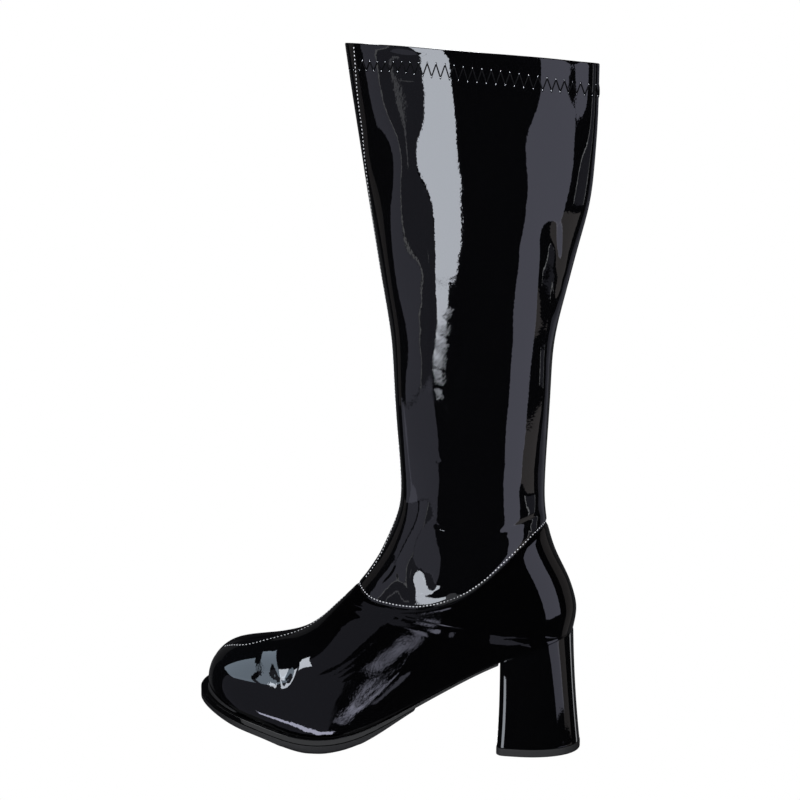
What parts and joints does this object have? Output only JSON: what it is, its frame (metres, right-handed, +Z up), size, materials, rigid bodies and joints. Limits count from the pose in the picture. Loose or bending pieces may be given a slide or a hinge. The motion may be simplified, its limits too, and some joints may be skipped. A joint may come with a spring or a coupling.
{
  "type": "go-go boot",
  "caption": "Knee-high boot in glossy stretch patent with a rounded square toe, a welt rim and a covered block heel.",
  "frame": {"origin": "on the ground, under the middle of the boot's bounding box", "axes": "+Z up, the toe towards -X, the outer side towards -Y and the inner side towards +Y"},
  "size_m": [0.255, 0.091, 0.4419],
  "materials": {
    "patent": "glossy stretch patent",
    "heel_cover": "glossy patent wrapped round the block",
    "sock_lining": "matt knitted lining",
    "welt": "satin",
    "tread": "matt",
    "lift": "matt"
  },
  "bodies": {
    "root": {"upper": "patent", "shaft": "patent", "heel": "heel_cover", "insole": "sock_lining", "midsole": "welt", "outsole": "tread", "top_lift": "lift"}
  },
  "joints": []
}
